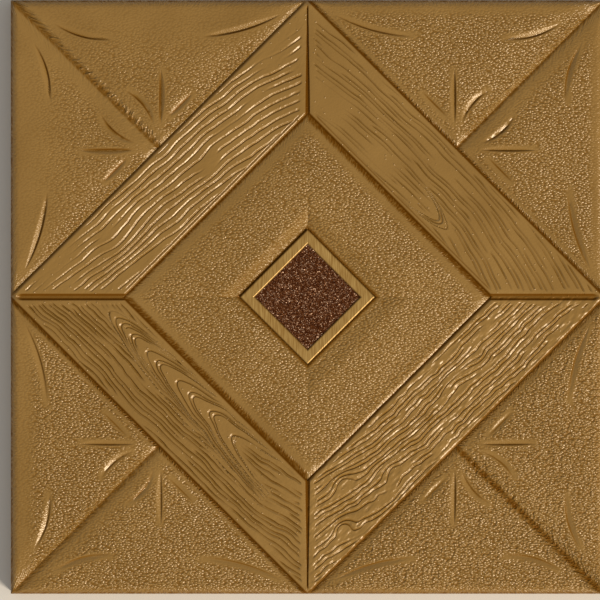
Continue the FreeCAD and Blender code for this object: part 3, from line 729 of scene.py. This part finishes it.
def grained_skin(name):
    """The boards' film, hot embossed by a plate cut with wood grain.

    Each pressed line has a wide wall, a narrow one and a keel darkened with painted shade,
    laid out from the line's own place and spacing in the grain_line attribute, so it stays crisp.
    """
    material, shader = new_material(name)
    where = add_node(material, "ShaderNodeTexCoord", output="Object")
    shade = add_node(material, "ShaderNodeAttribute", output="Fac", attribute_name="shade")
    line = add_node(material, "ShaderNodeAttribute", output="Vector", attribute_name="grain_line")
    field = add_node(material, "ShaderNodeSeparateXYZ", {"Vector": line}, "X")
    gap = field.node.outputs["Y"]
    strength = field.node.outputs["Z"]
    step = add_node(material, "ShaderNodeMath", {0: field, 1: 0.5}, operation="ADD")
    step = add_node(material, "ShaderNodeMath", {0: step}, operation="FRACT")
    step = add_node(material, "ShaderNodeMath", {0: step, 1: 0.5}, operation="SUBTRACT")
    from_keel = add_node(material, "ShaderNodeMath", {0: step, 1: gap}, operation="MULTIPLY")
    wide = add_node(material, "ShaderNodeMapRange", {
        "Value": from_keel, "From Min": 0.0, "From Max": LINE_WIDE}, interpolation_type="SMOOTHSTEP")
    narrow = add_node(material, "ShaderNodeMapRange", {
        "Value": from_keel, "From Min": 0.0, "From Max": -LINE_NARROW}, interpolation_type="SMOOTHSTEP")
    height = add_node(material, "ShaderNodeMath", {0: wide, 1: narrow}, operation="MAXIMUM")
    height = add_node(material, "ShaderNodeMath", {0: height, 1: strength}, operation="MULTIPLY")
    height = add_node(material, "ShaderNodeMath", {0: height, 1: strength}, operation="SUBTRACT")
    fine = add_node(material, "ShaderNodeTexNoise", {"Vector": where, "Scale": 700.0, "Detail": 3.0})
    spots = add_node(material, "ShaderNodeTexVoronoi", {
        "Vector": where, "Scale": 170.0}, "Distance", voronoi_dimensions="2D")
    speck = add_node(material, "ShaderNodeMapRange", {
        "Value": spots, "From Min": 0.02, "From Max": 0.13, "To Min": 0.26, "To Max": 0.0},
        interpolation_type="SMOOTHSTEP")
    chance = add_node(material, "ShaderNodeSeparateColor", {"Color": spots.node.outputs["Color"]})
    chance = add_node(material, "ShaderNodeMapRange", {
        "Value": chance, "From Min": 0.60, "From Max": 0.70, "To Min": 0.0, "To Max": 1.0})
    speck = add_node(material, "ShaderNodeMath", {0: speck, 1: chance}, operation="MULTIPLY")
    relief = add_node(material, "ShaderNodeMath", {0: height, 1: 0.72, 2: speck}, operation="MULTIPLY_ADD")
    relief = add_node(material, "ShaderNodeMath", {0: fine, 1: 0.16, 2: relief}, operation="MULTIPLY_ADD")

    # Painted shade in each line's keel, joined with the shade painted along the board's seams, mitres and
    # bead.
    off = add_node(material, "ShaderNodeMath", {0: from_keel}, operation="ABSOLUTE")
    keel_shade = add_node(material, "ShaderNodeMapRange", {
        "Value": off, "From Min": 0.10, "From Max": 0.54, "To Min": 0.72, "To Max": 0.0})
    keel_shade = add_node(material, "ShaderNodeMath", {0: keel_shade, 1: strength}, operation="MULTIPLY")
    painted_shade = add_node(material, "ShaderNodeMath", {0: keel_shade, 1: shade}, operation="MAXIMUM")
    painted_shade = add_node(material, "ShaderNodeMath", {0: painted_shade, 1: 0.95}, operation="MINIMUM")
    finish_film(material, shader, relief, painted_shade)
    return material


def gilt(name):
    """Satin gold hot-stamp foil on moulded polystyrene, with slanting hairlines.

    The foil rolls over both edges of the rim, which is 6.8 mm wide and 64 mm square.
    """
    material, shader = new_material(name)
    where = add_node(material, "ShaderNodeTexCoord", output="Object")
    drawn = add_node(material, "ShaderNodeMapping", {
        "Vector": where, "Rotation": (0.0, 0.0, math.radians(-28.0)), "Scale": (1500.0, 90.0, 1.0)})
    hair = add_node(material, "ShaderNodeTexNoise", {"Vector": drawn, "Scale": 1.0, "Detail": 2.0})
    foil = add_node(material, "ShaderNodeMapRange", {"Value": hair, "From Min": 0.35, "From Max": 0.75})
    foil = add_node(material, "ShaderNodeMix", {
        "Factor": foil, "A": colour("#966e2e"), "B": colour("#c4a05c")}, 2, data_type="RGBA")
    square = add_node(material, "ShaderNodeMapping", {
        "Vector": where, "Rotation": (0.0, 0.0, math.radians(45.0)), "Scale": (1000.0, 1000.0, 1.0)})
    square = add_node(material, "ShaderNodeVectorMath", {0: square}, operation="ABSOLUTE")
    one_way = add_node(material, "ShaderNodeSeparateXYZ", {"Vector": square}, "X")
    from_middle = add_node(material, "ShaderNodeMath", {
        0: one_way, 1: one_way.node.outputs["Y"]}, operation="MAXIMUM")
    inner = add_node(material, "ShaderNodeMapRange", {
        "Value": from_middle, "From Min": 25.2, "From Max": 26.2}, interpolation_type="SMOOTHSTEP")
    outer = add_node(material, "ShaderNodeMapRange", {
        "Value": from_middle, "From Min": 32.0, "From Max": 31.0}, interpolation_type="SMOOTHSTEP")
    roll = add_node(material, "ShaderNodeMath", {0: inner, 1: outer}, operation="MULTIPLY")
    relief = add_node(material, "ShaderNodeMath", {0: hair, 1: 0.08, 2: roll}, operation="MULTIPLY_ADD")
    bump = add_node(material, "ShaderNodeBump", {"Height": relief, "Strength": 1.0, "Distance": 0.00028})
    fill_inputs(material, shader, {
        "Base Color": foil, "Normal": bump, "Metallic": 0.4, "Roughness": 0.38})
    return material


def glitter(name):
    """Dark brown polyester film with flakes of 0.4 mm lying at all angles in lacquer."""
    material, shader = new_material(name)
    where = add_node(material, "ShaderNodeTexCoord", output="Object")
    flakes = add_node(material, "ShaderNodeTexVoronoi", {"Vector": where, "Scale": 2300.0}, "Color")
    pick = add_node(material, "ShaderNodeSeparateColor", {"Color": flakes})
    flake = add_node(material, "ShaderNodeValToRGB", {"Fac": pick})
    stops = flake.node.color_ramp.elements
    stops[0].color = colour("#301206")
    stops[1].color = colour("#c4a488")
    for position, code in ((0.55, "#4a220a"), (0.80, "#623818"), (0.94, "#84624a")):
        stops.new(position).color = colour(code)
    normal = add_node(material, "ShaderNodeNewGeometry", output="Normal")
    leaning = add_node(material, "ShaderNodeVectorMath", {
        0: flakes, 1: (0.5, 0.5, 0.5)}, operation="SUBTRACT")
    leaning = add_node(material, "ShaderNodeVectorMath", {
        0: leaning, 1: (0.5, 0.5, 0.5), 2: normal}, operation="MULTIPLY_ADD")
    turned = add_node(material, "ShaderNodeVectorMath", {0: leaning}, operation="NORMALIZE")
    fill_inputs(material, shader, {
        "Base Color": flake, "Normal": turned, "Metallic": 0.3, "Roughness": 0.40,
        "Specular IOR Level": 0.15, "Specular Tint": colour("#ffdcb0")})
    return material


def foam_back(name):
    """Closed-cell polyethylene foam, split to thickness by a band knife and left bare.

    Its cut cells are about 0.5 mm across, too fine to show, so they are drawn 1.2 mm
    apart: shallow matt pits in a pale sheet.
    """
    material, shader = new_material(name)
    where = add_node(material, "ShaderNodeTexCoord", output="Object")
    cells = add_node(material, "ShaderNodeTexVoronoi", {"Vector": where, "Scale": 830.0}, "Distance")
    # Painted shade: the pits are coloured darker towards their middles.
    shaded_foam_tone = add_node(material, "ShaderNodeMix", {
        "Factor": cells, "A": colour("#c9c2b2"), "B": colour("#dcd6c8")}, 2, data_type="RGBA")
    bump = add_node(material, "ShaderNodeBump", {"Height": cells, "Strength": 1.0, "Distance": 0.0003})
    fill_inputs(material, shader, {"Base Color": shaded_foam_tone, "Normal": bump, "Roughness": 0.85})
    return material


def plain(name, code, roughness):
    """A plain studio surface without any sheen, such as uncoated paper."""
    material, shader = new_material(name)
    fill_inputs(material, shader, {
        "Base Color": colour(code), "Roughness": roughness, "Specular IOR Level": 0.0})
    return material


pebbled = pebbled_skin("pebbled_bronze_leather")
grained = grained_skin("wood_grain_bronze_leather")
foam = foam_back("cut_polyethylene_foam")
pieces = [(centre_cushion("centre_cushion"), pebbled)]
for quarter, corner_name in enumerate(("upper_right", "upper_left", "lower_left", "lower_right")):
    pieces.append((board(corner_name + "_board", quarter), grained))
    for side, half_name in ((-1.0, "_first_cushion"), (1.0, "_second_cushion")):
        pieces.append((half_corner(corner_name + half_name, quarter, side), pebbled))
for piece, film in pieces:
    piece.data.materials.append(film)
    piece.data.materials.append(foam)
    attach(piece, "root")
    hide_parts("panel")

for node, finish in (("gilt_rim", gilt("satin_gold_foil")), ("glitter_plate", glitter("glitter_film"))):
    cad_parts[node].data.materials.clear()
    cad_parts[node].data.materials.append(finish)

# The studio: a pale floor, one soft lamp far off at the lower right, and a plain world.
PIXEL = 0.671 / 1000.0
CAMERA_HEIGHT = 2.0
PANEL_MIDDLE = (307.6, 297.0)


def studio_floor():
    """A flat pale sheet under the panel."""
    half = 3.0
    mesh = bpy.data.meshes.new("floor")
    mesh.from_pydata([(-half, -half, 0), (half, -half, 0), (half, half, 0), (-half, half, 0)], [],
                     [(0, 1, 2, 3)])
    mesh.materials.append(plain("pale_paper", "#d8d2c8", 0.9))
    floor = bpy.data.objects.new("floor", mesh)
    floor.location.z = -0.0005
    bpy.context.scene.collection.objects.link(floor)


def area_lamp(name, place, size, power, tint):
    """A square lamp that faces the panel's middle."""
    lamp = bpy.data.lights.new(name, "AREA")
    lamp.size = size
    lamp.energy = power
    lamp.color = colour(tint)[:3]
    holder = bpy.data.objects.new(name, lamp)
    holder.location = place
    holder.rotation_euler = (-Vector(place)).to_track_quat("-Z", "Y").to_euler()
    bpy.context.scene.collection.objects.link(holder)


studio_floor()
area_lamp("key", (3.50, -3.05, 3.75), 1.5, 350.0, "#fff4e4")
world = bpy.data.worlds.new("plain_world")
world.use_nodes = True
world.node_tree.nodes["Background"].inputs["Color"].default_value = colour("#ffffff")
world.node_tree.nodes["Background"].inputs["Strength"].default_value = 0.41
bpy.context.scene.world = world

camera_data = bpy.data.cameras.new("camera")
camera_data.lens = 36.0 * (CAMERA_HEIGHT - THICKNESS * 0.001) / (600.0 * PIXEL)
camera = bpy.data.objects.new("camera", camera_data)
camera.location = ((300.0 - PANEL_MIDDLE[0]) * PIXEL, (PANEL_MIDDLE[1] - 300.0) * PIXEL, CAMERA_HEIGHT)
bpy.context.scene.collection.objects.link(camera)
bpy.context.scene.camera = camera
bpy.context.scene.view_settings.view_transform = "Standard"
